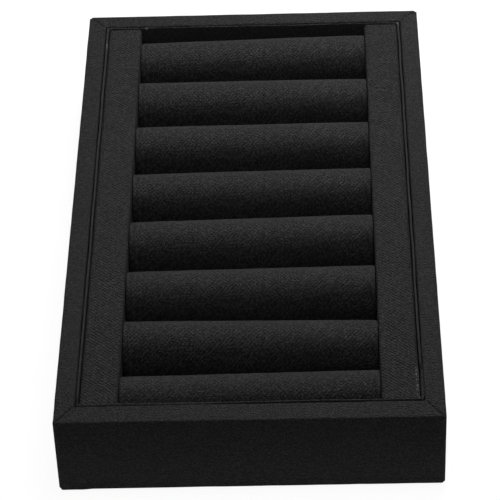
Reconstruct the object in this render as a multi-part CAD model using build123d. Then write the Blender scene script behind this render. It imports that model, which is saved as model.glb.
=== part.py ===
from build123d import *
import math
import os

# A cloth-wrapped tray for a drawer or a counter, with a lift-out insert of padded ring rolls.
# Millimetres. The origin is the middle of the underside, X runs along the rolls, the front
# of the tray is at -Y and Z is up. Every size is over the cloth unless its name says board,
# core or foam.

# Tray
tray_width = 140.0  # along X
tray_length = 250.0  # along Y
tray_height = 34.0
side_rim = 7.4
front_rim = 9.1
back_rim = 8.0
cloth = 0.5  # cloth glued on paper, as thick wherever it is used
corner_radius = 1.2  # the four upright corners
edge_radius = 0.9  # both edges of the rim, and the edge round the underside
turn_in = 12.0  # how far each wrap reaches in under the base
underside_lining = 0.4
underside_margin = 3.0  # the lining stops this far inside the tray's outline
base_board = 2.6
floor_lining = 0.5

# Liner: thin covered strips that stand inside the rim on all four sides
liner = 1.2
liner_drop = 0.1  # their tops stand this far below the rim
liner_edge_radius = 0.5

# Insert: it lifts straight out
side_clearance = 0.3
end_clearance = 0.8
insert_board = 2.0
insert_corner_radius = 0.6

# Rails: the two flat covered rails that close the ends of the rolls
rail_width = 13.7
rail_drop = 0.6  # their tops stand this far below the rim
rail_edge_radius = 1.3
rail_tuck = 4.0  # how far the cover turns in under a rail

# Rolls: eight padded rolls side by side, which grip rings in the slots between them
roll_count = 8
roll_pitch = 29.75
rolls_forward = 0.65  # the row of rolls stands this far forward of the insert's middle
roll_end_gap = 0.5  # between a roll's end and the rail
crown_radius = 12.4
crown_height = 32.6  # top of a roll in the middle of its length
crown_fall = 0.3  # how much a roll is drawn in towards its two ends
end_reach = 3.5  # how far from each end that begins
flank_lean = 7.5  # degrees from upright: the sides spread towards the board
press_radius = 7.0  # where an end roll's crown is pressed over against the liner
end_bevel = 1.2  # round the two ends of each roll
roll_tuck = 7.0  # how far the cover turns in under a roll

# Levels and places that follow from the sizes above
wrap_bottom = underside_lining
board_bottom = wrap_bottom + cloth
board_top = board_bottom + base_board
floor_top = board_top + floor_lining
insert_top = floor_top + insert_board
well_width = tray_width - 2 * side_rim
well_length = tray_length - front_rim - back_rim
well_middle = (front_rim - back_rim) / 2  # towards the back, as the front rim is the wider
insert_width = well_width - 2 * (liner + side_clearance)
insert_length = well_length - 2 * (liner + end_clearance)
rail_inner = insert_width / 2 - rail_width
roll_half = rail_inner - roll_end_gap
crown_centre = crown_height - crown_radius
end_roll = (roll_count - 1) / 2 * roll_pitch  # from the middle of the row to its last roll


def slab(width, length, low, high, middle=0.0):
    """A flat block from one height to another, centred on the tray or so far behind that."""
    block = Box(width, length, high - low, align=(Align.CENTER, Align.CENTER, Align.MIN))
    return Pos(0, middle, low) * block


def upright_edges(solid):
    return solid.edges().filter_by(Axis.Z)


def edges_at(solid, height):
    """The edges of a solid that lie flat at one height."""
    return solid.edges().filter_by_position(Axis.Z, height - 0.01, height + 0.01)


def tray_body(inset, edges=0.0):
    """The tray's whole outline, base and walls together, drawn in by an inset all over.

    With edges, both edges of the rim and the edge round the underside are rounded.
    """
    low, high = wrap_bottom + inset, tray_height - inset
    body = slab(tray_width - 2 * inset, tray_length - 2 * inset, low, high)
    body = fillet(upright_edges(body), corner_radius - inset)
    if edges:
        body = fillet(edges_at(body, low), edges)
    body -= slab(
        well_width + 2 * inset, well_length + 2 * inset, board_top, tray_height, well_middle
    )
    return fillet(edges_at(body, high), edges) if edges else body


def mitre_line(x, y, width, length, middle, across, rim):
    """A mitre from outside one corner of a frame to inside it. x and y are 1 or -1.

    It crosses the rounded corner and the rim's inner edge at 45 degrees, as the rounded edges
    meet there, and leans in between where the two rims differ.
    """
    inward = [(-5, -5), (across + 6, rim + 6)]
    if across != rim:
        ease = corner_radius
        inward[1:1] = [(ease, ease), (across - ease, rim - ease)]
    return [(x * (width / 2 - a), y * (length / 2 - b) + middle) for a, b in inward]


def side_wedge(side, width, length, middle, rims):
    """The quarter of a frame that belongs to one side, parted from its neighbours by mitres.

    The frame's outline is centred so far behind the middle of the tray, and its rims are
    those at the front, at the back and at the two sides.
    """
    front, back, across = rims
    turn = {"front": 0, "right": 1, "back": 2, "left": 3}[side]
    corners = [(-1, -1, front), (1, -1, front), (1, 1, back), (-1, 1, back)]
    lines = [
        mitre_line(x, y, width, length, middle, across, rim)
        for x, y, rim in (corners[turn], corners[(turn + 1) % 4])
    ]
    outline = Polyline(*reversed(lines[0]), *lines[1], close=True)
    return Pos(0, 0, -1) * extrude(make_face(outline), tray_height + 2)


def tray_parts():
    """Boards, linings and the four mitred wraps, each with the strip that stands inside it."""
    boards = tray_body(cloth)
    base = boards & slab(tray_width, tray_length, 0, board_top)
    walls = boards & slab(tray_width, tray_length, board_top, tray_height)

    window = slab(
        tray_width - 2 * turn_in, tray_length - 2 * turn_in, wrap_bottom, board_bottom
    )
    wraps = tray_body(0, edge_radius) - boards - window

    # The lining laps the turned-in cloth all round and fills the window inside it.
    lining = slab(
        tray_width - 2 * underside_margin,
        tray_length - 2 * underside_margin,
        0,
        underside_lining,
    )
    lining = fillet(upright_edges(lining), corner_radius) + window

    liner_top = tray_height - liner_drop
    strips = slab(well_width, well_length, floor_top, liner_top, well_middle) - slab(
        well_width - 2 * liner, well_length - 2 * liner, floor_top, liner_top, well_middle
    )
    strips = fillet(edges_at(strips, liner_top), liner_edge_radius)

    parts = {
        "underside_lining": lining,
        "base_board": base,
        "floor_lining": slab(well_width, well_length, board_top, floor_top, well_middle),
    }
    for side in ("front", "back", "left", "right"):
        wedge = side_wedge(side, tray_width, tray_length, 0, (front_rim, back_rim, side_rim))
        inner_wedge = side_wedge(side, well_width, well_length, well_middle, 3 * (liner,))
        parts[side + "_wall_board"] = walls & wedge
        parts[side + "_wrap"] = wraps & wedge
        parts[side + "_liner"] = strips & inner_wedge
    return parts


def rail_form(inset):
    """A side rail of the insert, on the +X side, drawn in by an inset all over."""
    low, high = insert_top + inset, tray_height - rail_drop - inset
    width = rail_width - 2 * inset
    rail = slab(width, insert_length - 2 * inset, low, high)
    rail = fillet(edges_at(rail, high), rail_edge_radius - inset)
    return Pos(rail_inner + rail_width / 2, 0, 0) * rail


def rail_parts():
    """The two rails, each a core in a cloth cover that is open along its underside."""
    outside, core = rail_form(0), rail_form(cloth)
    seam = slab(
        rail_width - 2 * rail_tuck, insert_length - 2 * rail_tuck, insert_top, insert_top + cloth
    )
    cover = outside - core - Pos(rail_inner + rail_width / 2, 0, 0) * seam
    half_turn = Rot(0, 0, 180)
    return {
        "right_rail_core": core,
        "right_rail_cover": cover,
        "left_rail_core": half_turn * core,
        "left_rail_cover": half_turn * cover,
    }


def roll_stations(inset):
    """Places along a roll, each with how much the roll is drawn in there.

    A roll is straight in the middle, drawn in a little towards each end, and bevelled there.
    """
    half, bevel = roll_half - inset, end_bevel - inset
    drawn_in = ((end_reach, 0), (bevel, crown_fall), (0, crown_fall + bevel))
    right = [(half - from_end, fall) for from_end, fall in drawn_in]
    left = [(-place, fall) for place, fall in reversed(right)]
    return left + right


def turned(stations, radius, centre, start, end):
    """A round solid about a line along X, from one angle above +Y to another."""
    lean = math.radians(start)
    plane = Plane(
        origin=(0, *centre), x_dir=(1, 0, 0), z_dir=(0, -math.sin(lean), math.cos(lean))
    )
    outline = [(place, radius - fall) for place, fall in stations]
    first, last = stations[0][0], stations[-1][0]
    profile = plane * make_face(Polyline(*outline, (last, 0), (first, 0), close=True))
    return revolve(profile, Axis((0, *centre), (1, 0, 0)), end - start)


def roll_form(inset, press=None):
    """A whole roll, drawn in by an inset all over: a round crown on sides that spread down.

    With press, the side towards +Y stands upright at that distance from the roll's middle,
    as an end roll's does against the liner, and the crown turns down into it in a smaller arc.
    """
    base, radius, small = insert_top + inset, crown_radius - inset, press_radius - inset
    stations = roll_stations(inset)
    lean = math.radians(flank_lean)
    crown_start = flank_lean
    pressed = None
    if press is not None:
        reach = press - press_radius
        rise = math.sqrt((crown_radius - press_radius) ** 2 - reach**2)
        bend = (reach, crown_centre + rise)
        crown_start = math.degrees(math.atan2(rise, reach))
        pressed = turned(stations, small, bend, 0, crown_start)

    sections = []
    for place, fall in stations:
        shoulder = (radius - fall) * math.cos(lean)
        height = crown_centre + (radius - fall) * math.sin(lean)
        foot = shoulder + (height - base) * math.tan(lean)
        outline = [(-foot, base), (-shoulder, height), (0, crown_centre)]
        if press is None:
            outline += [(shoulder, height), (foot, base)]
        else:
            upright = press - inset - fall
            outline += [bend, (upright, bend[1]), (upright, base)]
        sections.append(Plane.YZ.offset(place) * make_face(Polyline(*outline, close=True)))
    body = loft(sections, ruled=True)
    body += turned(stations, radius, (0, crown_centre), crown_start, 180 - flank_lean)
    return body if pressed is None else body + pressed


def roll_parts():
    """The rolls, from the back: each a foam core in a cloth cover that is open underneath."""
    back_press = insert_length / 2 - end_roll + rolls_forward
    front_press = insert_length / 2 - end_roll - rolls_forward
    seam = Box(
        2 * (roll_half - roll_tuck),
        2 * (crown_radius - roll_tuck),
        cloth,
        align=(Align.CENTER, Align.CENTER, Align.MIN),
    )
    seam = Pos(0, 0, insert_top) * seam
    free_roll = (roll_form(0), roll_form(cloth))
    rolls = {
        1: (roll_form(0, back_press), roll_form(cloth, back_press)),
        roll_count: (roll_form(0, front_press), roll_form(cloth, front_press)),
    }

    parts = {}
    for number in range(1, roll_count + 1):
        place = Pos(0, end_roll - rolls_forward - (number - 1) * roll_pitch, 0)
        outside, foam = rolls.get(number, free_roll)
        if number == roll_count:
            place *= Rot(0, 0, 180)
        parts[f"foam_roll_{number}"] = place * foam
        parts[f"roll_cover_{number}"] = place * (outside - foam - seam)
    return parts


def insert_parts():
    """The lift-out insert, built about its own middle and then set in the well."""
    board = slab(insert_width, insert_length, floor_top, insert_top)
    parts = {"insert_board": fillet(upright_edges(board), insert_corner_radius)}
    parts.update(rail_parts())
    parts.update(roll_parts())
    return {name: Pos(0, well_middle, 0) * solid for name, solid in parts.items()}


def main():
    os.makedirs("parts", exist_ok=True)
    for name, solid in {**tray_parts(), **insert_parts()}.items():
        export_step(solid, f"parts/{name}.step")


main()
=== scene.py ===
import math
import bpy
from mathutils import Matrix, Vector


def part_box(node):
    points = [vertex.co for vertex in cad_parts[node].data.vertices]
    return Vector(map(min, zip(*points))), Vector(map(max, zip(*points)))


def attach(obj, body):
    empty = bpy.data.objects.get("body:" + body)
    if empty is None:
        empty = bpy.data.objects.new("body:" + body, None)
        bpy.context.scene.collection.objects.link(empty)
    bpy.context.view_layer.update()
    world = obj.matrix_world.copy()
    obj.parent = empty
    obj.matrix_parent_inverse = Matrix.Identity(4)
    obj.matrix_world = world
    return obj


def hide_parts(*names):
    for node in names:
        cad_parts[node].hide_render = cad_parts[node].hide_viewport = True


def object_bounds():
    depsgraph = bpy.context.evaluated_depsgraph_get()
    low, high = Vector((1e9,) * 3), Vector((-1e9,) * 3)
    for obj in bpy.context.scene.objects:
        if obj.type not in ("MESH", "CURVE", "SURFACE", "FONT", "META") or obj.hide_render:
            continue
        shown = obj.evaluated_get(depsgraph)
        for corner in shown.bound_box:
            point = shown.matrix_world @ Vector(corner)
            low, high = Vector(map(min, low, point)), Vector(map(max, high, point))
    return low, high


bl_info = {
    "name": "Padded ring tray",
    "version": (1, 0, 0),
    "blender": (4, 5, 0),
    "location": "View3D > Sidebar > Ring tray",
    "description": "Cloth wraps, padded rolls and a studio for a tray with a lift-out insert",
    "category": "Object",
}

import bmesh
import bpy
from bpy.props import FloatProperty, FloatVectorProperty, IntProperty, PointerProperty
from bpy.types import Operator, Panel, PropertyGroup
from mathutils import Matrix, Vector, noise

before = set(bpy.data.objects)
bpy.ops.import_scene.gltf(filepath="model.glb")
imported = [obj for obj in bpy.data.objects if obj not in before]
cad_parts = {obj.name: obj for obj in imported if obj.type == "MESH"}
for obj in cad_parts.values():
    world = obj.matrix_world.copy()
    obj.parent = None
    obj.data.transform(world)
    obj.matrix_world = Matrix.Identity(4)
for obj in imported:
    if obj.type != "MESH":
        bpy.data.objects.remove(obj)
CAD_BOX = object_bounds()

# Metres. The frame's origin is the middle of the underside, X runs along the rolls, the front
# of the tray is at -Y and Z is up. Each side of the tray is made as if it were the front one
# and then turned into its place.
MM = 0.001
QUARTER = math.pi / 2
WHITE = (1, 1, 1, 1)
SIDES = ("front", "right", "back", "left")  # each a quarter turn on from the one before
RAIL_SIDES = ("left", "right")

TRAY_LOW, TRAY_HIGH = CAD_BOX
LINER_LOW, LINER_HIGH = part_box("front_liner")
WELL_LOW = Vector((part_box("left_liner")[0].x, LINER_LOW.y, 0))
WELL_HIGH = Vector((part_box("right_liner")[1].x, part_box("back_liner")[1].y, 0))
WELL_MIDDLE = (WELL_LOW + WELL_HIGH) / 2
WRAP_LOW, WRAP_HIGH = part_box("front_wrap")
RAIL_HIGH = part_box("right_rail_cover")[1]
ROLL_LOW, ROLL_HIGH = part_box("roll_cover_2")
ROLL_NAMES = sorted(
    (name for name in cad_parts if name.startswith("roll_cover_")),
    key=lambda name: int(name.rsplit("_", 1)[1]),
)

# How wide the rim is on each side.
RIMS = {
    "front": WELL_LOW.y - TRAY_LOW.y,
    "right": TRAY_HIGH.x - WELL_HIGH.x,
    "back": TRAY_HIGH.y - WELL_HIGH.y,
    "left": WELL_LOW.x - TRAY_LOW.x,
}
TURN_IN = WRAP_HIGH.y - TRAY_LOW.y
SKIRT_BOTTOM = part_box("base_board")[1].z
CLOTH = ROLL_HIGH.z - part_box("foam_roll_2")[1].z
LINER = LINER_HIGH.y - LINER_LOW.y
ROLL_FOOT = (ROLL_HIGH.y - ROLL_LOW.y) / 2
TARGET = Vector((0, 0, TRAY_HIGH.z / 2))

# How long the faces are that cloth is divided into, round its section and then along it.
WRAP_STEPS = (1.1 * MM, 1.5 * MM)
LINER_STEPS = (3 * MM, 0.5 * MM)
RAIL_STEP = 1.6 * MM
ROLL_STEP = 1.7 * MM

# How many times the seam depth each mitre is deep: front right, back right, back left and
# front left.
SEAMS = (1.5, 2.3, 2.3, 2.0)
# A mitre's groove runs out this near to the rim's inner edge.
SEAM_END = 0.7 * MM
# A wrap's low edge doesn't wave outwards below this height.
WRAP_FOOT = TRAY_HIGH.z / 6
# The front wrap hangs lower at its left end: how far, up to what height the cloth goes with it,
# where that ends and over what length.
FOLD_DROP = 0.35 * MM
FOLD_HEIGHT = 1.5 * MM
FOLD_END = -61 * MM
FOLD_EASE = 3 * MM

# Stretches of the liner strips that aren't straight and even, as places along each strip. Then
# how long the pleated end of the left strip is, and how wide one pleat.
CLOSED = (-46 * MM, -16 * MM)
HALF_CLOSED = (-62 * MM, -46 * MM)
PUSHED_OVER = (-113 * MM, -99 * MM)
PLEATED = 5 * MM
PLEAT = 1.6 * MM

# How far each rail's cover is pulled out at its front and back ends, in mm, at its left and
# right edges, and how far from the end the pull begins.
RAIL_PULL = {"left": ((0.65, 0.65), (0.6, 0.6)), "right": ((0.05, 0.65), (0.6, 0.6))}
PULL_REACH = 4 * MM
# The last row of faces round a rail is this far inside its back end. At the front its cover
# reaches as far out as that row, close to the liner strip.
RAIL_END = 0.5 * MM

# How each roll was laid by hand: its middle, and then its right-hand end, this many
# millimetres further back than a perfect row would have them.
ROLL_LAY = (
    (0.1, 1.6),
    (0.3, -0.1),
    (0.2, 0.3),
    (-0.5, 0.7),
    (-0.3, 1.1),
    (-0.6, 0.7),
    (-0.5, -0.9),
    (0.7, 0.6),
)

# Boxes in which cloth is lightened, as the two ends of each box along X, Y and Z: frayed cloth at
# the right rail's outer edge near the front, and four places on top of the liner strips, painted
# glints where a strip's top catches the light, with light specks of fray among them.
FRAYED = (
    (
        (RAIL_HIGH.x - 1.1 * MM, RAIL_HIGH.x),
        (TRAY_LOW.y + 11 * MM, TRAY_LOW.y + 25.5 * MM),
        (RAIL_HIGH.z - 1.2 * MM, TRAY_HIGH.z),
    ),
)
STRIP_TOP = (LINER_HIGH.z - 0.9 * MM, LINER_HIGH.z + 0.6 * MM)
# Four lightened places on top of the liner strips: painted glints where a strip's top catches the
# light, and light specks of fray.
STRIP_GLINTS_AND_SPECKS = (
    ((-61.8 * MM, -60.2 * MM), (116.0 * MM, 116.6 * MM), STRIP_TOP),
    ((-62.0 * MM, -61.2 * MM), (103.5 * MM, 104.5 * MM), STRIP_TOP),
    ((-45.8 * MM, -44.8 * MM), (116.0 * MM, 116.6 * MM), STRIP_TOP),
    ((60.6 * MM, 62.5 * MM), (115.0 * MM, 116.0 * MM), STRIP_TOP),
)
# How softly a lightened place ends, frayed or painted glint, along X, Y and Z.
FRAY_AND_GLINT_EASE = (0.2 * MM, 2 * MM, 0.4 * MM)

# The weave. Threads drift aside by up to this many threads, in waves of these lengths along and
# around a piece.
SWAY = 1.6
DRIFT_ALONG = (1 / 170, 1 / 140)
DRIFT_AROUND = (1 / 143, 1 / 299)
# Thick places: how long and wide they are, and how far they stand out. Then the same of fibres.
SLUBS = (((6 * MM, 0.9 * MM), 1.5), ((0.9 * MM, 5 * MM), 0.9))
FIBRE = 0.55 * MM
FIBRE_RISE = 3.0
# A painted glint is a little smaller than a crossing of two threads.
GLINT = 0.7
PATCH = 22 * MM
# How dark and how light cloth is at its lowest and highest, which paints shade into the hollows of
# the weave and lightens its slubs, and from patch to patch.
WEAVE_TONES = (0.68, 1.32)
PATCH_TONES = (0.94, 1.06)

# Where each lamp hangs, and its length and depth.
LAMPS = {
    "key": ((0.08, 0.335, 0.345), (0.3, 0.3)),
    "top": ((0, -0.09, 0.42), (0.4, 0.08)),
    "front": ((0, -0.28, 0.75), (0.4, 0.4)),
    "low": ((0, -0.153, 0.003), (0.28, 0.02)),
}
CLIP = (0.05, 40)


def side_reach(side, corner):
    """Half the length of one side, and how far its outer face is from the middle.

    The corner is the right-hand back corner of the outline, measured from its middle.
    """
    return (corner.x, corner.y) if side in ("front", "back") else (corner.y, corner.x)


class RingTrayForms(PropertyGroup):
    """Sizes of the cloth work that the frame's boxes don't give."""

    rim_edge: FloatProperty(
        name="Rim edge",
        description="Radius of the cloth over both edges of the rim and under the tray",
        default=0.9 * MM,
        unit="LENGTH",
    )
    corner: FloatProperty(
        name="Corner",
        description="Radius of the tray's four upright corners",
        default=1.2 * MM,
        unit="LENGTH",
    )
    seam_depth: FloatProperty(
        name="Seam depth",
        description="How far the cloth is drawn down along a mitre",
        default=0.2 * MM,
        unit="LENGTH",
    )
    seam_reach: FloatProperty(
        name="Seam reach",
        description="How far from a mitre the cloth begins to go down into it",
        default=0.9 * MM,
        unit="LENGTH",
    )
    wrap_waves: FloatProperty(
        name="Wrap waves",
        description="How far the glued cloth of the tray waves in and out",
        default=0.14 * MM,
        unit="LENGTH",
    )
    liner_edge: FloatProperty(
        name="Liner edge",
        description="Radius of the cloth over the top of a liner strip",
        default=0.38 * MM,
        unit="LENGTH",
    )
    liner_lean: FloatProperty(
        name="Liner lean",
        description="How far the top of a liner strip stands off from the rim",
        default=0.42 * MM,
        unit="LENGTH",
    )
    liner_glued: FloatProperty(
        name="Liner glued",
        description="How far below its top a liner strip is glued to the wall",
        default=5.0 * MM,
        unit="LENGTH",
    )
    liner_waves: FloatProperty(
        name="Liner waves",
        description="How far a liner strip bends away from straight",
        default=0.2 * MM,
        unit="LENGTH",
    )
    rail_edge: FloatProperty(
        name="Rail edge",
        description="Radius of the cloth over the top edges of a rail",
        default=1.3 * MM,
        unit="LENGTH",
    )
    rail_waves: FloatProperty(
        name="Rail waves",
        description="How far the cloth of a rail waves in and out",
        default=0.15 * MM,
        unit="LENGTH",
    )
    crown: FloatProperty(
        name="Crown",
        description="Radius of the round top of a roll",
        default=12.4 * MM,
        unit="LENGTH",
    )
    flank_lean: FloatProperty(
        name="Flank lean",
        description="How far the sides of a roll lean out from upright",
        default=math.radians(7.5),
        subtype="ANGLE",
    )
    pressed_crown: FloatProperty(
        name="Pressed crown",
        description="Radius where the crown of an end roll is pressed over against the liner",
        default=7.0 * MM,
        unit="LENGTH",
    )
    roll_slack: FloatProperty(
        name="Roll slack",
        description="How much smaller a roll starts before its padding swells it",
        default=0.4 * MM,
        unit="LENGTH",
    )
    roll_end: FloatProperty(
        name="Roll end",
        description="Radius of the cloth round the two ends of a roll",
        default=0.5 * MM,
        unit="LENGTH",
    )
    end_room: FloatProperty(
        name="End room",
        description="How far a roll may lean out of its place at most",
        default=0.5 * MM,
        unit="LENGTH",
    )
    roll_swell: FloatProperty(
        name="Roll swell",
        description="The furthest that the padding may push a point of the cloth",
        default=0.35 * MM,
        unit="LENGTH",
    )
    roll_waves: FloatProperty(
        name="Roll waves",
        description="How uneven the padding is by hand filling",
        default=0.22 * MM,
        unit="LENGTH",
    )
    swell_frames: IntProperty(
        name="Swell frames",
        description="How many frames the cloth of a roll is simulated for",
        default=20,
    )


class RingTrayCloths(PropertyGroup):
    """Colours and weaves."""

    wrap_colour: FloatVectorProperty(
        name="Wrap colour",
        description="Cloth over the walls and the rim",
        default=(0.0283, 0.0281, 0.0280),
        subtype="COLOR",
        size=3,
    )
    liner_colour: FloatVectorProperty(
        name="Liner colour",
        description="Cloth of the thin strips inside the rim",
        default=(0.0280, 0.0278, 0.0276),
        subtype="COLOR",
        size=3,
    )
    rail_colour: FloatVectorProperty(
        name="Rail colour",
        description="Cloth over the two rails",
        default=(0.0211, 0.0209, 0.0209),
        subtype="COLOR",
        size=3,
    )
    roll_colour: FloatVectorProperty(
        name="Roll colour",
        description="Cloth over the padded rolls",
        default=(0.0276, 0.0274, 0.0273),
        subtype="COLOR",
        size=3,
    )
    lining_colour: FloatVectorProperty(
        name="Lining colour",
        description="Cloth on the floor of the tray",
        default=(0.0230, 0.0228, 0.0228),
        subtype="COLOR",
        size=3,
    )
    paper_colour: FloatVectorProperty(
        name="Paper colour",
        description="Paper under the tray",
        default=(0.035, 0.034, 0.033),
        subtype="COLOR",
        size=3,
    )
    board_colour: FloatVectorProperty(
        name="Board colour",
        description="Pressed wood of the tray's boards and the rails' cores",
        default=(0.36, 0.25, 0.15),
        subtype="COLOR",
        size=3,
    )
    card_colour: FloatVectorProperty(
        name="Card colour",
        description="Black card of the insert's base",
        default=(0.016, 0.0155, 0.015),
        subtype="COLOR",
        size=3,
    )
    thread_along: FloatProperty(
        name="Thread along",
        description="Distance between threads along a piece",
        default=0.8 * MM,
        unit="LENGTH",
    )
    thread_around: FloatProperty(
        name="Thread around",
        description="Distance between threads around a piece",
        default=0.9 * MM,
        unit="LENGTH",
    )


class RingTrayStudio(PropertyGroup):
    """Camera, floor and lamps."""

    camera_turn: FloatProperty(
        name="Camera turn",
        description="How far the camera stands round towards +X from the front",
        default=math.radians(1.864),
        subtype="ANGLE",
    )
    camera_rise: FloatProperty(
        name="Camera rise",
        description="How far the camera looks down",
        default=math.radians(40.29),
        subtype="ANGLE",
    )
    camera_roll: FloatProperty(
        name="Camera roll",
        description="How far the camera is tilted about its line of sight",
        default=math.radians(-2.327),
        subtype="ANGLE",
    )
    camera_distance: FloatProperty(
        name="Camera distance",
        description="From the camera to the middle of the tray's underside",
        default=1.0263,
        unit="LENGTH",
    )
    camera_aside: FloatProperty(
        name="Camera aside",
        description="How far the camera stands to its own right",
        default=-1.52 * MM,
        unit="LENGTH",
    )
    camera_above: FloatProperty(
        name="Camera above",
        description="How far the camera stands to its own top",
        default=5.41 * MM,
        unit="LENGTH",
    )
    lens: FloatProperty(
        name="Lens",
        description="Focal length in millimetres",
        default=184.8,
        subtype="DISTANCE_CAMERA",
    )
    floor_size: FloatProperty(
        name="Floor size",
        description="Length and width of the floor",
        default=16.0,
        unit="LENGTH",
    )
    key_power: FloatProperty(
        name="Key power",
        description="Power of the large soft lamp above and behind the tray",
        default=2.85,
        unit="POWER",
    )
    top_power: FloatProperty(
        name="Top power",
        description="Power of the long soft lamp above the front rolls",
        default=0.56,
        unit="POWER",
    )
    front_power: FloatProperty(
        name="Front power",
        description="Power of the soft lamp above and in front of the tray",
        default=0.4,
        unit="POWER",
    )
    fill: FloatProperty(
        name="Fill",
        description="Strength of the even light from all round",
        default=0.045,
    )
    low_power: FloatProperty(
        name="Low power",
        description="Power of the weak strip on the floor that lights the front from below",
        default=0.021,
        unit="POWER",
    )


def forms():
    return bpy.context.scene.ring_tray_forms


def cloths():
    return bpy.context.scene.ring_tray_cloths


def studio():
    return bpy.context.scene.ring_tray_studio


class Finish:
    """A material whose nodes are added one at a time, each joined to those before it."""

    def __init__(self, name, tree=None):
        if tree is None:
            self.material = bpy.data.materials.new(name)
            self.material.use_nodes = True
            tree = self.material.node_tree
        self.tree = tree
        self.tree.nodes.clear()

    def add(self, kind, inputs=(), **settings):
        """A new node. An input is a number, a colour or the output of another node."""
        node = self.tree.nodes.new(kind)
        for name, value in settings.items():
            setattr(node, name, value)
        for key, value in dict(inputs).items():
            if isinstance(value, bpy.types.NodeSocket):
                self.tree.links.new(value, node.inputs[key])
            else:
                node.inputs[key].default_value = value
        return node

    def maths(self, operation, *values):
        return self.add("ShaderNodeMath", enumerate(values), operation=operation).outputs[0]

    def noise(self, place, scale, detail=2.0, rough=0.5):
        """Soft noise from 0 to 1, with scale in features to the metre."""
        inputs = {"Vector": place, "Scale": scale, "Detail": detail, "Roughness": rough}
        return self.add("ShaderNodeTexNoise", inputs).outputs["Fac"]

    def stretched(self, place, lengths):
        """A place counted in lengths that differ along its axes."""
        scale = [1 / length for length in lengths] + [1.0] * (3 - len(lengths))
        inputs = {"Vector": place, "Scale": scale}
        return self.add("ShaderNodeMapping", inputs).outputs["Vector"]

    def spread(self, value, low, high, to_low, to_high):
        inputs = dict(zip(("Value", "From Min", "From Max", "To Min", "To Max"),
                          (value, low, high, to_low, to_high)))
        return self.add("ShaderNodeMapRange", inputs).outputs["Result"]

    def shade(self, colour, amount):
        """A colour made lighter or darker by an amount that varies over the surface."""
        inputs = {0: 1.0, 6: (*colour, 1.0), 7: self.grey(amount)}
        node = self.add("ShaderNodeMix", inputs, data_type="RGBA", blend_type="MULTIPLY")
        return node.outputs[2]

    def grey(self, value):
        inputs = {"Red": value, "Green": value, "Blue": value}
        return self.add("ShaderNodeCombineColor", inputs).outputs["Color"]

    def done(self, colour, relief, depth, **surface):
        """Close the material with a Principled shader whose even values sit on its sockets."""
        bump = self.add("ShaderNodeBump", {"Height": relief, "Distance": depth})
        inputs = {"Base Color": colour, "Normal": bump.outputs["Normal"]}
        inputs.update({key.replace("_", " "): value for key, value in surface.items()})
        shader = self.add("ShaderNodeBsdfPrincipled", inputs)
        self.add("ShaderNodeOutputMaterial", {"Surface": shader.outputs[0]})
        return self.material


def swaying_threads(finish):
    """The piece's own map, in metres along it and around it, and the same as its threads run."""
    place = finish.add("ShaderNodeUVMap", uv_map="weave").outputs["UV"]
    parted = finish.add("ShaderNodeSeparateXYZ", {"Vector": place})
    sway = SWAY * cloths().thread_along
    runs = []
    for axis, lengths in (("X", DRIFT_ALONG), ("Y", DRIFT_AROUND)):
        drift = finish.noise(finish.stretched(place, lengths), 1.0, 3.0)
        runs.append(finish.maths("MULTIPLY_ADD", drift, sway, parted.outputs[axis]))
    return place, *runs


def weave_height(finish, place, along, around, slubs, crossing, lean):
    """How high the cloth stands where threads cross over and under and some are thicker."""
    along = finish.maths("MULTIPLY", along, math.pi / cloths().thread_along)
    around = finish.maths("MULTIPLY", around, math.pi / cloths().thread_around)
    threads = finish.maths("MULTIPLY", finish.maths("SINE", along), finish.maths("SINE", around))
    slant = finish.maths("SINE", finish.maths("MULTIPLY_ADD", around, lean, along))
    height = finish.maths("MULTIPLY", finish.maths("ADD", threads, slant), crossing)
    for size, rise in SLUBS:
        thick = finish.noise(finish.stretched(place, size), 1.0)
        height = finish.maths("MULTIPLY_ADD", thick, rise * slubs, height)
    fibres = finish.noise(place, 1 / FIBRE, 2.0, 0.6)
    return finish.maths("MULTIPLY_ADD", fibres, FIBRE_RISE, height)


def thread_glints(finish, along, around, speckle):
    """Each crossing of two threads a little lighter or darker than the next: painted glints and
    shade of the threads under the lamps, besides their own uneven tone.
    """
    crossings = finish.add("ShaderNodeCombineXYZ", {
        "X": finish.maths("FLOOR", finish.maths("DIVIDE", along, GLINT * cloths().thread_along)),
        "Y": finish.maths("FLOOR", finish.maths("DIVIDE", around, GLINT * cloths().thread_around)),
    })
    glints = finish.add("ShaderNodeTexWhiteNoise", {"Vector": crossings.outputs["Vector"]})
    glints = finish.maths("POWER", glints.outputs["Value"], 1.5)
    return finish.spread(glints, 0, 1, 1 - speckle, 1 + 1.5 * speckle)


def woven_cloth(name, colour, relief, slubs, crossing, speckle, lean=1, fray_and_glints=()):
    """Plain woven cloth on paper, on the piece's own map.

    The relief is in metres. Slubs, crossing and speckle say how much of each the cloth has, lean
    which way its slant runs, and fray_and_glints the boxes in which it is lightened, by fray and
    by painted glints.
    """
    finish = Finish(name)
    place, along, around = swaying_threads(finish)
    height = weave_height(finish, place, along, around, slubs, crossing, lean)
    middle = (slubs * sum(rise for size, rise in SLUBS) + FIBRE_RISE) / 2
    patches = finish.noise(place, 1 / PATCH, 3.0)
    # The tone follows the height: painted shade in the weave's hollows, lighter on its threads and
    # slubs.
    tone = finish.spread(height, middle - 1.0, middle + 1.0, *WEAVE_TONES)
    tone = finish.maths("MULTIPLY", tone, finish.spread(patches, 0.3, 0.7, *PATCH_TONES))
    # Painted glints and shade of the threads, crossing by crossing.
    tone = finish.maths("MULTIPLY", tone, thread_glints(finish, along, around, speckle))
    # Each box lightens the cloth: fray, and painted glints.
    for box in fray_and_glints:
        tone = finish.maths("MULTIPLY", tone, fray_and_glint_tone(finish, box))
    return finish.done(
        finish.shade(colour, tone),
        height,
        relief,
        Roughness=0.6,
        Specular_IOR_Level=0.03,
        Sheen_Weight=0.05,
        Sheen_Roughness=0.4,
    )


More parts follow.
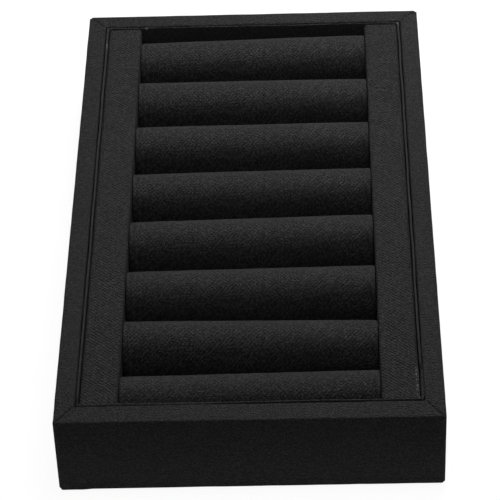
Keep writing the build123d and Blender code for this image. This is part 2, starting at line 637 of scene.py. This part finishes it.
def fray_and_glint_tone(finish, box):
    """Lightened threads inside a box, as a factor on the tone of the cloth: frayed threads, and
    painted glints where a strip's top catches the light.
    """
    place = finish.add("ShaderNodeTexCoord").outputs["Object"]
    parted = finish.add("ShaderNodeSeparateXYZ", {"Vector": place})
    share = finish.noise(place, 1 / (0.8 * MM), 2.0, 0.7)
    share = finish.spread(share, 0.46, 0.58, 0, 6)
    for axis, (least, most), ease in zip("XYZ", box, FRAY_AND_GLINT_EASE):
        there = parted.outputs[axis]
        share = finish.maths("MULTIPLY", share, finish.spread(there, least - ease, least, 0, 1))
        share = finish.maths("MULTIPLY", share, finish.spread(there, most, most + ease, 1, 0))
    return finish.maths("ADD", share, 1.0)


def floor_cloth(name, colour):
    """The same plain weave on a flat lining, laid straight from its place."""
    finish = Finish(name)
    place = finish.add("ShaderNodeTexCoord").outputs["Object"]
    parted = finish.add("ShaderNodeSeparateXYZ", {"Vector": place})
    along = finish.maths("MULTIPLY", parted.outputs["X"], math.pi / cloths().thread_along)
    around = finish.maths("MULTIPLY", parted.outputs["Y"], math.pi / cloths().thread_around)
    crossing = finish.maths("MULTIPLY", finish.maths("SINE", along), finish.maths("SINE", around))
    slubs = finish.noise(finish.stretched(place, (7 * MM, 0.9 * MM)), 1.0)
    height = finish.maths("MULTIPLY_ADD", crossing, 0.5, slubs)
    # The tone follows the height: painted shade in the weave's hollows, lighter on its threads and
    # slubs.
    tone = finish.spread(height, 0.0, 1.0, 0.8, 1.2)
    return finish.done(finish.shade(colour, tone), height, 0.1 * MM, Roughness=0.7)


def plain_paper(name, colour):
    finish = Finish(name)
    place = finish.add("ShaderNodeTexCoord").outputs["Object"]
    fibres = finish.noise(place, 1 / (0.6 * MM), 4.0, 0.65)
    tone = finish.spread(fibres, 0.3, 0.7, 0.85, 1.15)
    return finish.done(finish.shade(colour, tone), fibres, 0.03 * MM, Roughness=0.85)


def pressed_board(name, colour, grain):
    """Board of pressed fibres, a little uneven in tone."""
    finish = Finish(name)
    place = finish.add("ShaderNodeTexCoord").outputs["Object"]
    chips = finish.noise(finish.stretched(place, (grain, grain, 0.4 * grain)), 1.0, 5.0, 0.7)
    clouds = finish.noise(place, 1 / (30 * MM), 2.0)
    tone = finish.maths(
        "MULTIPLY",
        finish.spread(chips, 0.25, 0.75, 0.7, 1.25),
        finish.spread(clouds, 0.3, 0.7, 0.92, 1.08),
    )
    return finish.done(finish.shade(colour, tone), chips, 0.08 * MM, Roughness=0.8)


def closed_piece(bm, name, finish, body, slot, *stands_for):
    """Turn a finished bmesh into a piece that rides on a body and stands for CAD nodes."""
    bmesh.ops.recalc_face_normals(bm, faces=bm.faces[:])
    for face in bm.faces:
        face.smooth = True
    mesh = bpy.data.meshes.new(name)
    bm.to_mesh(mesh)
    bm.free()
    mesh.materials.append(finish)
    piece = bpy.data.objects.new(name, mesh)
    bpy.context.scene.collection.objects.link(piece)
    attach(piece, body)
    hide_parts(*stands_for)
    return piece


def keep_crisp(bm):
    """Shade cut ends flat, so that a cloth's edge doesn't darken the cloth beside it."""
    for edge in bm.edges:
        edge.smooth = edge.calc_face_angle(0) < math.radians(55)


def new_section():
    """An empty bmesh that remembers how far round its section each point lies."""
    bm = bmesh.new()
    bm.verts.layers.float.new("around")
    return bm


def draw_line(bm, points):
    """Join a few points into a line."""
    verts = [bm.verts.new(point) for point in points]
    for first, second in zip(verts, verts[1:]):
        bm.edges.new((first, second))
    return verts


def soften(bm, verts, radius, segments):
    """Round the corners of a line."""
    bmesh.ops.bevel(
        bm,
        geom=verts,
        offset=radius,
        offset_type="OFFSET",
        segments=segments,
        profile=0.5,
        affect="VERTICES",
        material=-1,
    )


def cut_long_edges(bm, edges, step):
    """Divide each edge into equal lengths of about a step."""
    for edge in list(edges):
        cuts = round(edge.calc_length() / step) - 1
        if cuts > 0:
            bmesh.ops.subdivide_edges(bm, edges=[edge], cuts=cuts)


def measure_round(bm, start):
    """Write on each point of a line how far it is from the place where the line starts."""
    around = bm.verts.layers.float["around"]
    here = min(bm.verts, key=lambda vert: (vert.co - Vector(start)).length)
    here[around] = 0
    seen = {here}
    while True:
        onward = [e.other_vert(here) for e in here.link_edges]
        onward = [v for v in onward if v not in seen]
        if not onward:
            return here[around]
        onward[0][around] = here[around] + (onward[0].co - here.co).length
        here = onward[0]
        seen.add(here)


def lay_weave(bm, axis, girth=0.0):
    """Map the cloth in metres: along the piece, and around its section.

    A closed section needs its girth, for the face where the way round starts again. Faces
    square to the piece, at its ends, are mapped flat.
    """
    around = bm.verts.layers.float["around"]
    weave = bm.loops.layers.uv.new("weave")
    flat = [n for n in range(3) if n != axis]
    bm.normal_update()
    for face in bm.faces:
        at_end = abs(face.normal[axis]) > 0.8
        furthest = max(loop.vert[around] for loop in face.loops)
        for loop in face.loops:
            place = loop.vert.co
            if at_end:
                loop[weave].uv = (place[flat[0]], place[flat[1]])
                continue
            way = loop.vert[around]
            if girth and furthest - way > girth / 2:
                way += girth
            loop[weave].uv = (place[axis], way)


def wave(place, length, seed):
    """A smooth random number from -1 to 1 that changes over about a length."""
    return noise.noise(place / length + Vector((17.3 * seed, 5.1, 2.7)))


def two_waves(place, long, short, seed, other_seed, share=0.65):
    """Long waves with shorter ones on them, which have the rest of the share."""
    return wave(place, long, seed) * share + wave(place, short, other_seed) * (1 - share)


def between(value, low, high, ease):
    """1 inside a range, easing to 0 outside it."""
    return max(0, min(1, 1 + min(value - low, high - value) / ease))


def turned_to(bm, side):
    """Turn a piece made at the front round to its own side."""
    turn = Matrix.Rotation(SIDES.index(side) * QUARTER, 3, "Z")
    bmesh.ops.rotate(bm, cent=(0, 0, 0), matrix=turn, verts=bm.verts[:])


def draw_out(bm, half, steps, ends):
    """Draw a line out along X into a strip whose rows of faces are finer towards its ends."""
    drawn = bmesh.ops.extrude_edge_only(bm, edges=bm.edges[:])["geom"]
    far = [v for v in drawn if isinstance(v, bmesh.types.BMVert)]
    bmesh.ops.translate(bm, verts=far, vec=(1, 0, 0))
    lengthwise = [e for e in bm.edges if abs(e.verts[0].co.x - e.verts[1].co.x) > 0.5]
    bmesh.ops.subdivide_edges(bm, edges=lengthwise, cuts=steps - 1)
    for vert in bm.verts:
        from_middle = 2 * vert.co.x - 1
        reach = 1 - (1 - abs(from_middle)) ** ends
        vert.co.x = math.copysign(half * reach, from_middle)


def draw_bar(bm, axis, length, rows):
    """Fill a closed line and draw it out along an axis into a bar with rows of faces."""
    bmesh.ops.contextual_create(bm, geom=bm.edges[:])
    drawn = bmesh.ops.extrude_face_region(bm, geom=bm.faces[:], use_keep_orig=True)["geom"]
    far = [v for v in drawn if isinstance(v, bmesh.types.BMVert)]
    way = Vector((0, 0, 0))
    way[axis] = length
    bmesh.ops.translate(bm, verts=far, vec=way)
    lengthwise = [
        e for e in bm.edges if abs(e.verts[0].co[axis] - e.verts[1].co[axis]) > length / 2
    ]
    bmesh.ops.subdivide_edges(bm, edges=lengthwise, cuts=rows - 1)


def drawn_in(side, end, inside):
    """How far a mitre has run in along a side, at a depth inside the tray's outline.

    It crosses the round of the corner and the rim's inner edge at 45 degrees, and leans in
    between where the two rims differ. The end is 1 or -1, as for X.
    """
    own = RIMS[side]
    other = RIMS[SIDES[(SIDES.index(side) + end) % 4]]
    ease = forms().corner
    if inside < ease:
        return inside
    if inside > own - ease:
        return other + inside - own
    return ease + (inside - ease) * (other - 2 * ease) / (own - 2 * ease)


def mitre(bm, side, half, outer):
    """Draw each row in by as much as the mitres at its two ends have run in."""
    for vert in bm.verts:
        end = 1 if vert.co.x > 0 else -1
        vert.co.x *= 1 - drawn_in(side, end, vert.co.y + outer) / half


def round_corners(bm, half, outer, radius):
    """Turn the square corners of the outline into arcs that end on the mitres."""
    for vert in bm.verts:
        from_end, inside = half - abs(vert.co.x), vert.co.y + outer
        if from_end < radius and inside < radius:
            aside, out = radius - from_end, radius - inside
            angle = math.pi / 4 * aside / out if out > 0 else 0
            vert.co.x = math.copysign(half - radius + out * math.sin(angle), vert.co.x)
            vert.co.y = radius - outer - out * math.cos(angle)


def wrap_section(bm, rim, outer):
    """The line of a wrap: in under the tray, up its face, over the rim and down inside."""
    low, high = WRAP_LOW.z, TRAY_HIGH.z
    points = [
        (0, TURN_IN - outer, low),
        (0, -outer, low),
        (0, -outer, high),
        (0, rim - outer, high),
        (0, rim - outer, SKIRT_BOTTOM),
    ]
    line = draw_line(bm, points)
    soften(bm, line[1:4], forms().rim_edge, 5)
    cut_long_edges(bm, bm.edges, WRAP_STEPS[0])
    measure_round(bm, points[0])


def make_wrap(side, finish):
    """One side's cloth, with its turned-in margin, mitred to its neighbours."""
    half, outer = side_reach(side, TRAY_HIGH)
    bm = new_section()
    wrap_section(bm, RIMS[side], outer)
    draw_out(bm, half, round(2 * half / WRAP_STEPS[1]), 1.5)
    lay_weave(bm, 0)
    skin = bm.verts[:]
    bmesh.ops.recalc_face_normals(bm, faces=bm.faces[:])
    bmesh.ops.solidify(bm, geom=bm.faces[:], thickness=CLOTH)
    mitre(bm, side, half, outer)
    bm.normal_update()
    settle_skin(skin, side, half, outer)
    round_corners(bm, half, outer, forms().corner)
    keep_crisp(bm)
    turned_to(bm, side)
    return closed_piece(bm, side + "_wrap_cloth", finish, "tray", "wrap_cloth", side + "_wrap")


def settle_skin(skin, side, half, outer):
    """Wave the outside of a wrap a little, and draw it down into the mitres at its ends."""
    form = forms()
    seed = SIDES.index(side)
    skin_set = set(skin)
    outside = {}
    for vert in skin:
        own = [f.normal for f in vert.link_faces if all(v in skin_set for v in f.verts)]
        outside[vert] = sum(own, Vector()).normalized()
    for vert, out in outside.items():
        end = 1 if vert.co.x > 0 else -1
        to_mitre = half - drawn_in(side, end, vert.co.y + outer) - abs(vert.co.x)
        move = form.wrap_waves * two_waves(vert.co, 14 * MM, 5 * MM, seed, seed + 9)
        move *= min(1, max(0, to_mitre / (3 * MM)))
        if vert.co.z < WRAP_FOOT:
            move = min(move, 0)
        near = max(0, 1 - to_mitre / form.seam_reach)
        from_inner_edge = RIMS[side] - form.rim_edge - vert.co.y - outer
        depth = form.seam_depth * SEAMS[(seed + (end - 1) // 2) % 4]
        depth *= min(1, max(0, 1 + from_inner_edge / SEAM_END))
        vert.co += out * (move - depth * near * near * (3 - 2 * near))
        if side == "front" and vert.co.z < FOLD_HEIGHT:
            vert.co.z -= FOLD_DROP * between(vert.co.x, -half, FOLD_END, FOLD_EASE)
        vert.co.x -= end * 0.5 * depth * near ** 4


def make_liner(side, finish):
    """A thin covered strip that stands inside the rim."""
    form = forms()
    half, outer = side_reach(side, WELL_HIGH - WELL_MIDDLE)
    bm = new_section()
    low, high = LINER_LOW.z, LINER_HIGH.z
    middle = LINER / 2 - outer
    points = [
        (0, middle, low),
        (0, -outer, low),
        (0, -outer, high - form.liner_glued),
        (0, form.liner_lean - outer, high),
        (0, LINER - outer, high),
        (0, LINER - outer, low),
    ]
    line = draw_line(bm, points)
    bm.edges.new((line[5], line[0]))
    soften(bm, line[3:5], form.liner_edge, 4)
    cut_long_edges(bm, bm.edges, LINER_STEPS[0])
    girth = measure_round(bm, points[0])
    draw_out(bm, half, round(2 * half / LINER_STEPS[1]), 1.2)
    bmesh.ops.holes_fill(bm, edges=[e for e in bm.edges if e.is_boundary], sides=0)
    lay_weave(bm, 0, girth)
    for vert in bm.verts:
        vert.co.x *= 1 - (vert.co.y + outer) / half
    seed = 30 + SIDES.index(side)
    for vert in bm.verts:
        along = Vector((vert.co.x, 0, 0))
        height = (vert.co.z - low) / (high - low)
        waves = form.liner_waves * height
        vert.co.y += waves * wave(along, 16 * MM, seed)
        vert.co.z += waves * (wave(along, 9 * MM, seed + 7) - 0.5) * 0.6
        pinch_liner(vert, side, half, outer)
    keep_crisp(bm)
    turned_to(bm, side)
    bmesh.ops.translate(bm, verts=bm.verts[:], vec=WELL_MIDDLE)
    return closed_piece(bm, side + "_liner_cloth", finish, "tray", "liner_cloth", side + "_liner")


def pinch_liner(vert, side, half, outer):
    """Places where a liner strip isn't straight and even, most of them at its very top.

    At the front its outer half closes against the rim, and at the back it stands off from it. On
    the right the strip is pushed over, and on the left its front end is gathered in pleats.
    """
    along, below = vert.co.x, LINER_HIGH.z - vert.co.z
    at_top = max(0, 1 - below / (1 * MM))
    in_outer_half = vert.co.y < LINER / 2 - outer
    if side == "front" and in_outer_half:
        closed = max(between(along, *CLOSED, 3 * MM), 0.7 * between(along, *HALF_CLOSED, 3 * MM))
        vert.co.y -= at_top * closed * (forms().liner_lean + 0.55 * MM)
        vert.co.z += at_top * closed * 0.12 * MM
    if side == "back" and in_outer_half:
        vert.co.y += 0.2 * MM * at_top
    if side == "right" and below < forms().liner_glued + 0.5 * MM:
        pushed = between(along, *PUSHED_OVER, 2 * MM)
        vert.co.z -= 1.2 * MM * pushed
        vert.co.y -= 0.8 * MM * at_top * pushed
    if side == "left":
        bunched = at_top * between(along, half - PLEATED, half, 1 * MM)
        pleats = 0.5 - 0.5 * math.cos(math.tau * (half - along) / PLEAT)
        vert.co.z -= 1.1 * MM * pleats * bunched
        vert.co.y -= 0.4 * MM * bunched


def make_rail(side, finish):
    """A flat covered rail: its cover is drawn over a straight core."""
    form = forms()
    low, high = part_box(side + "_rail_cover")
    bm = new_section()
    points = [
        ((low.x + high.x) / 2, low.y, low.z),
        (low.x, low.y, low.z),
        (low.x, low.y, high.z),
        (high.x, low.y, high.z),
        (high.x, low.y, low.z),
    ]
    line = draw_line(bm, points)
    bm.edges.new((line[4], line[0]))
    soften(bm, line[2:4], form.rail_edge, 4)
    cut_long_edges(bm, bm.edges, RAIL_STEP)
    girth = measure_round(bm, points[0])
    draw_bar(bm, 1, high.y - low.y, round(2 * high.y / RAIL_STEP))
    for vert in bm.verts:
        if 0.6 * RAIL_END < high.y - abs(vert.co.y) < 4 * RAIL_END:
            vert.co.y = math.copysign(high.y - RAIL_END, vert.co.y)
    close_ends(bm, 1, RAIL_END)
    lay_weave(bm, 1, girth)
    seed = 50 + RAIL_SIDES.index(side)
    bm.normal_update()
    for vert in bm.verts[:]:
        way = two_waves(vert.co, 22 * MM, 6 * MM, seed, seed + 5, 0.7)
        lift = max(0, (vert.co.z - low.z) / (high.z - low.z))
        vert.co += vert.normal * form.rail_waves * (way - 0.4) * lift
        left_pull, right_pull = RAIL_PULL[side][0 if vert.co.y < 0 else 1]
        share = (vert.co.x - low.x) / (high.x - low.x)
        near = max(0, 1 - (high.y - abs(vert.co.y)) / PULL_REACH)
        pull = (left_pull + (right_pull - left_pull) * share) * MM * near
        vert.co.y += math.copysign(pull, vert.co.y)
    piece = closed_piece(bm, side + "_rail_cloth", finish, "insert", "rail_cloth",
                         side + "_rail_cover")
    add_subdivision(piece)
    return piece


def close_ends(bm, axis, edge):
    """Ring the flat ends of a bar with rows of faces, the first of them close to the edge."""
    bm.normal_update()
    for end in [face for face in bm.faces if len(face.verts) > 4]:
        centre = end.calc_center_bounds()
        half = [max(abs(v.co[n] - centre[n]) for v in end.verts) for n in range(3)]
        for inset in (0.8 * edge, edge, 2 * edge):
            factors = [1 if n == axis else (half[n] - inset) / half[n] for n in range(3)]
            ring = bmesh.ops.extrude_discrete_faces(bm, faces=[end])["faces"][0]
            space = Matrix.Translation(-centre)
            bmesh.ops.scale(bm, vec=factors, space=space, verts=ring.verts[:])
            half = [half[n] * factors[n] for n in range(3)]
            end = ring


def add_subdivision(piece, levels=1):
    modifier = piece.modifiers.new("Subdivision", "SUBSURF")
    modifier.levels = levels
    modifier.render_levels = levels


def climb(bm, vert, y, z):
    """Carry a line on from its last point to a new one."""
    made = bmesh.ops.extrude_vert_indiv(bm, verts=[vert])["verts"][0]
    made.co.y, made.co.z = y, z
    return made


def swing(bm, vert, centre, turn):
    """Carry a line on from its last point in an arc, anticlockwise as seen from +X."""
    steps = max(2, round(turn * (vert.co - centre).length / ROLL_STEP))
    made = bmesh.ops.spin(bm, geom=[vert], cent=centre, axis=(1, 0, 0), angle=turn, steps=steps)
    return next(v for v in made["geom_last"] if isinstance(v, bmesh.types.BMVert))


def roll_section(bm, low, high, middle, pressed):
    """The closed line of a roll: a round crown on sides that spread to the base.

    The line starts under the roll. A roll that is pressed against the liner at the back is
    upright on that side, and its crown bends down to it in a smaller arc.
    """
    form = forms()
    slack, lean = form.roll_slack, form.flank_lean
    crown = form.crown - slack
    centre = Vector((low.x, middle, high.z - form.crown))
    shoulder = crown * math.cos(lean)
    shoulder_z = centre.z + crown * math.sin(lean)
    foot = ROLL_FOOT - slack
    under = bm.verts.new((low.x, middle, low.z))
    if pressed:
        small = form.pressed_crown - slack
        reach = high.y - middle - form.pressed_crown
        rise = math.sqrt((form.crown - form.pressed_crown) ** 2 - reach**2)
        bend = centre + Vector((0, reach, rise))
        lean_over = math.atan2(rise, reach)
        last = climb(bm, under, bend.y + small, low.z)
        last = climb(bm, last, bend.y + small, bend.z)
        last = swing(bm, last, bend, lean_over)
        last = swing(bm, last, centre, math.pi - lean - lean_over)
    else:
        last = climb(bm, under, middle + foot, low.z)
        last = climb(bm, last, middle + shoulder, shoulder_z)
        last = swing(bm, last, centre, math.pi - 2 * lean)
    last = climb(bm, last, middle - foot, low.z)
    bm.edges.new((last, under))
    cut_long_edges(bm, bm.edges, ROLL_STEP)
    return measure_round(bm, (low.x, middle, low.z))


def make_roll(name, finish):
    """A padded roll: its cover swells over the foam and is held down along the base.

    The last one is pressed at its front, so it is made as if seen from behind, and turned.
    """
    number = int(name.rsplit("_", 1)[1])
    low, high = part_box(name)
    ends = (1, len(ROLL_NAMES))
    turned = number == ends[1]
    middle = high.y - ROLL_FOOT if turned else low.y + ROLL_FOOT
    if turned:
        low.y, high.y = 2 * middle - high.y, 2 * middle - low.y
    bm = new_section()
    girth = roll_section(bm, low, high, middle, number in ends)
    draw_bar(bm, 0, high.x - low.x, round((high.x - low.x) / ROLL_STEP))
    close_ends(bm, 0, forms().roll_end)
    lay_weave(bm, 0, girth)
    if turned:
        half_turn = Matrix.Rotation(math.pi, 3, "Z")
        bmesh.ops.rotate(bm, cent=(0, middle, 0), matrix=half_turn, verts=bm.verts[:])
    foam = f"foam_roll_{number}"
    piece = closed_piece(bm, f"padded_roll_{number}", finish, "insert", "roll_cloth", name, foam)
    swell(piece, low.z)
    uneven_padding(piece, number, low.z, high.z)
    lay_by_hand(piece, number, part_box(name))
    add_subdivision(piece)
    return piece


def swell(piece, base):
    """Blow the cover out over its padding with a cloth simulation, and keep the result."""
    scene = bpy.context.scene
    start = [vert.co.copy() for vert in piece.data.vertices]
    held = piece.vertex_groups.new(name="held")
    held.add([n for n, place in enumerate(start) if place.z < base + 0.1 * MM], 1.0, "REPLACE")
    cloth = piece.modifiers.new("Cloth", "CLOTH")
    settings = cloth.settings
    settings.quality = 6
    settings.mass = 0.001
    settings.tension_stiffness = 1
    settings.compression_stiffness = 1
    settings.shear_stiffness = 1
    settings.bending_stiffness = 0.5
    settings.shrink_min = -0.02
    settings.effector_weights.gravity = 0
    settings.use_pressure = True
    settings.uniform_pressure_force = 4
    settings.use_internal_springs = True
    settings.internal_spring_max_length = 0.05
    for stiffness in ("tension", "compression"):
        setattr(settings, f"internal_{stiffness}_stiffness", 1)
        setattr(settings, f"internal_{stiffness}_stiffness_max", 1)
    settings.vertex_group_mass = held.name
    cloth.collision_settings.use_collision = False
    cloth.point_cache.frame_start = 1
    cloth.point_cache.frame_end = forms().swell_frames
    for number in range(1, forms().swell_frames + 1):
        scene.frame_set(number)
    swollen = piece.evaluated_get(bpy.context.evaluated_depsgraph_get()).data
    moved = [vert.co.copy() for vert in swollen.vertices]
    piece.modifiers.remove(cloth)
    piece.vertex_groups.remove(held)
    scene.frame_set(1)
    most = forms().roll_swell
    for vert, before, after in zip(piece.data.vertices, start, moved):
        way = after - before
        if way.length > most:
            way *= most / way.length
        vert.co = before + way


def uneven_padding(piece, number, base, top):
    """The small hollows and rises that hand filling leaves, none of them at the base."""
    for vert in piece.data.vertices:
        height = max(0, (vert.co.z - base) / (top - base))
        way = two_waves(vert.co, 32.5 * MM, 9 * MM, number, number + 20)
        vert.co += vert.normal * forms().roll_waves * (way - 0.3) * height


def lay_by_hand(piece, number, box):
    """Lean a roll's crown forward or back, more at one end. Its foot goes a third as far."""
    low, high = box
    middle, turn = (value * MM for value in ROLL_LAY[number - 1])
    limit = forms().end_room
    for vert in piece.data.vertices:
        height = max(0, (vert.co.z - low.z) / (high.z - low.z))
        share = 0.35 + 0.65 * height
        vert.co.y += share * (middle + turn * vert.co.x / high.x)
        vert.co.y = min(high.y + limit, max(low.y - limit, vert.co.y))


def finish_nodes(finish, *names):
    """Give CAD nodes that stay in view their material."""
    for name in names:
        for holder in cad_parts[name].material_slots:
            holder.material = finish


class RINGTRAY_OT_boards(Operator):
    """Finish the boards, linings and cores, which stay as the frame has them"""

    bl_idname = "ring_tray.boards"
    bl_label = "Boards and linings"

    def execute(self, context):
        colours = cloths()
        wood = pressed_board("pressed_wood", colours.board_colour, 1.2 * MM)
        walls = [side + "_wall_board" for side in SIDES]
        cores = [side + "_rail_core" for side in RAIL_SIDES]
        finish_nodes(wood, "base_board", *walls, *cores)
        finish_nodes(pressed_board("black_card", colours.card_colour, 0.5 * MM), "insert_board")
        finish_nodes(plain_paper("underside_paper", colours.paper_colour), "underside_lining")
        finish_nodes(floor_cloth("floor_cloth", colours.lining_colour), "floor_lining")
        return {"FINISHED"}


class RINGTRAY_OT_wraps(Operator):
    """Wrap the four walls of the tray in cloth"""

    bl_idname = "ring_tray.wraps"
    bl_label = "Wraps"

    def execute(self, context):
        finish = woven_cloth("wrap_cloth", cloths().wrap_colour, relief=3.3 * MM, slubs=0.4,
                             crossing=0.08, speckle=0.45)
        for side in SIDES:
            make_wrap(side, finish)
        return {"FINISHED"}


class RINGTRAY_OT_liners(Operator):
    """Stand the four thin covered strips inside the rim"""

    bl_idname = "ring_tray.liners"
    bl_label = "Liner strips"

    def execute(self, context):
        finish = woven_cloth("liner_cloth", cloths().liner_colour, relief=0.6 * MM, slubs=0.4,
                             crossing=0.1, speckle=0.3, fray_and_glints=STRIP_GLINTS_AND_SPECKS)
        for side in SIDES:
            make_liner(side, finish)
        return {"FINISHED"}


class RINGTRAY_OT_rails(Operator):
    """Cover the two rails that close the ends of the rolls"""

    bl_idname = "ring_tray.rails"
    bl_label = "Rails"

    def execute(self, context):
        finish = woven_cloth("rail_cloth", cloths().rail_colour, relief=1.2 * MM, slubs=0.4,
                             crossing=0.25, speckle=0.65, lean=-1, fray_and_glints=FRAYED)
        for side in RAIL_SIDES:
            make_rail(side, finish)
        return {"FINISHED"}


class RINGTRAY_OT_rolls(Operator):
    """Pad and cover the rolls that grip the rings"""

    bl_idname = "ring_tray.rolls"
    bl_label = "Padded rolls"

    def execute(self, context):
        finish = woven_cloth("roll_cloth", cloths().roll_colour, relief=1.2 * MM, slubs=0.3,
                             crossing=0.22, speckle=0.65, lean=-1)
        for name in ROLL_NAMES:
            make_roll(name, finish)
        return {"FINISHED"}


def seen_directly(finish):
    """1 where the camera sees a surface itself, in a gloss or through glass, and else 0."""
    path = finish.add("ShaderNodeLightPath")
    straight = finish.maths(
        "MAXIMUM", path.outputs["Is Camera Ray"], path.outputs["Is Glossy Ray"]
    )
    return finish.maths("MAXIMUM", straight, path.outputs["Is Transmission Ray"])


def white_floor():
    """A floor that looks white, keeps the tray's shadow and throws some light back up."""
    finish = Finish("white_floor")
    glow = finish.add("ShaderNodeEmission", {"Color": WHITE, "Strength": 0.93})
    shadowed = finish.add("ShaderNodeBsdfDiffuse", {"Color": (0.12, 0.12, 0.12, 1)})
    shown = finish.add("ShaderNodeAddShader", {0: glow.outputs[0], 1: shadowed.outputs[0]})
    pale = finish.add("ShaderNodeBsdfDiffuse", {"Color": (0.35, 0.35, 0.35, 1)})
    both = {0: seen_directly(finish), 1: pale.outputs[0], 2: shown.outputs[0]}
    mix = finish.add("ShaderNodeMixShader", both)
    finish.add("ShaderNodeOutputMaterial", {"Surface": mix.outputs[0]})
    return finish.material


def light_world(strength):
    """White behind everything, and an even grey light on the object."""
    world = bpy.data.worlds.new("studio")
    world.use_nodes = True
    bpy.context.scene.world = world
    finish = Finish("studio", world.node_tree)
    even = finish.add("ShaderNodeBackground", {"Color": WHITE, "Strength": strength})
    white = finish.add("ShaderNodeBackground", {"Color": WHITE, "Strength": 1.0})
    both = {0: seen_directly(finish), 1: even.outputs[0], 2: white.outputs[0]}
    mix = finish.add("ShaderNodeMixShader", both)
    finish.add("ShaderNodeOutputWorld", {"Surface": mix.outputs[0]})


def hang_lamp(name, place, size, power):
    """A soft lamp that faces the tray, and that the camera doesn't see."""
    data = bpy.data.lights.new(name, "AREA")
    data.shape = "RECTANGLE"
    data.size, data.size_y = size
    data.energy = power
    lamp = bpy.data.objects.new(name, data)
    bpy.context.scene.collection.objects.link(lamp)
    lamp.location = place
    lamp.rotation_mode = "QUATERNION"
    lamp.rotation_quaternion = (TARGET - Vector(place)).to_track_quat("-Z", "Y")
    lamp.visible_camera = False


def lay_floor(size):
    bm = bmesh.new()
    bmesh.ops.create_grid(bm, x_segments=1, y_segments=1, size=size / 2)
    mesh = bpy.data.meshes.new("floor")
    bm.to_mesh(mesh)
    bm.free()
    mesh.materials.append(white_floor())
    floor = bpy.data.objects.new("floor", mesh)
    bpy.context.scene.collection.objects.link(floor)


def place_camera(settings):
    """Stand the camera off from the tray's origin, then turn it about its own axes."""
    turn, rise = settings.camera_turn, settings.camera_rise
    back = Vector(
        (math.sin(turn) * math.cos(rise), -math.cos(turn) * math.cos(rise), math.sin(rise))
    )
    right = Vector((math.cos(turn), math.sin(turn), 0))
    axes = Matrix((right, back.cross(right), back)).transposed()
    axes = axes @ Matrix.Rotation(settings.camera_roll, 3, "Z")
    data = bpy.data.cameras.new("camera")
    data.lens = settings.lens
    data.clip_start, data.clip_end = CLIP
    camera = bpy.data.objects.new("camera", data)
    bpy.context.scene.collection.objects.link(camera)
    offset = Vector((settings.camera_aside, settings.camera_above, settings.camera_distance))
    camera.matrix_world = Matrix.Translation(axes @ offset) @ axes.to_4x4()
    bpy.context.scene.camera = camera


class RINGTRAY_OT_studio(Operator):
    """Lay the floor, hang the lamps and stand the camera"""

    bl_idname = "ring_tray.studio"
    bl_label = "Studio"

    def execute(self, context):
        settings = studio()
        lay_floor(settings.floor_size)
        light_world(settings.fill)
        for name, (place, size) in LAMPS.items():
            hang_lamp(name + "_lamp", place, size, getattr(settings, name + "_power"))
        place_camera(settings)
        context.scene.view_settings.view_transform = "Standard"
        return {"FINISHED"}


class RINGTRAY_PT_panel(Panel):
    """The tray's pieces in the order in which they are made"""

    bl_idname = "RINGTRAY_PT_panel"
    bl_label = "Ring tray"
    bl_space_type = "VIEW_3D"
    bl_region_type = "UI"
    bl_category = "Ring tray"

    def draw(self, context):
        for operator in OPERATORS:
            self.layout.operator(operator.bl_idname)
        for group in (context.scene.ring_tray_forms, context.scene.ring_tray_cloths,
                      context.scene.ring_tray_studio):
            box = self.layout.box()
            for name in group.bl_rna.properties.keys():
                if name not in ("rna_type", "name"):
                    box.prop(group, name)


OPERATORS = (
    RINGTRAY_OT_studio,
    RINGTRAY_OT_boards,
    RINGTRAY_OT_wraps,
    RINGTRAY_OT_liners,
    RINGTRAY_OT_rails,
    RINGTRAY_OT_rolls,
)
GROUPS = (RingTrayForms, RingTrayCloths, RingTrayStudio)


def register():
    for thing in (*GROUPS, *OPERATORS, RINGTRAY_PT_panel):
        bpy.utils.register_class(thing)
    scene = bpy.types.Scene
    scene.ring_tray_forms = PointerProperty(type=RingTrayForms)
    scene.ring_tray_cloths = PointerProperty(type=RingTrayCloths)
    scene.ring_tray_studio = PointerProperty(type=RingTrayStudio)


def unregister():
    scene = bpy.types.Scene
    del scene.ring_tray_forms, scene.ring_tray_cloths, scene.ring_tray_studio
    for thing in reversed((*GROUPS, *OPERATORS, RINGTRAY_PT_panel)):
        bpy.utils.unregister_class(thing)


def main():
    register()
    for operator in OPERATORS:
        group, name = operator.bl_idname.split(".")
        getattr(getattr(bpy.ops, group), name)()


if __name__ == "__main__":
    main()
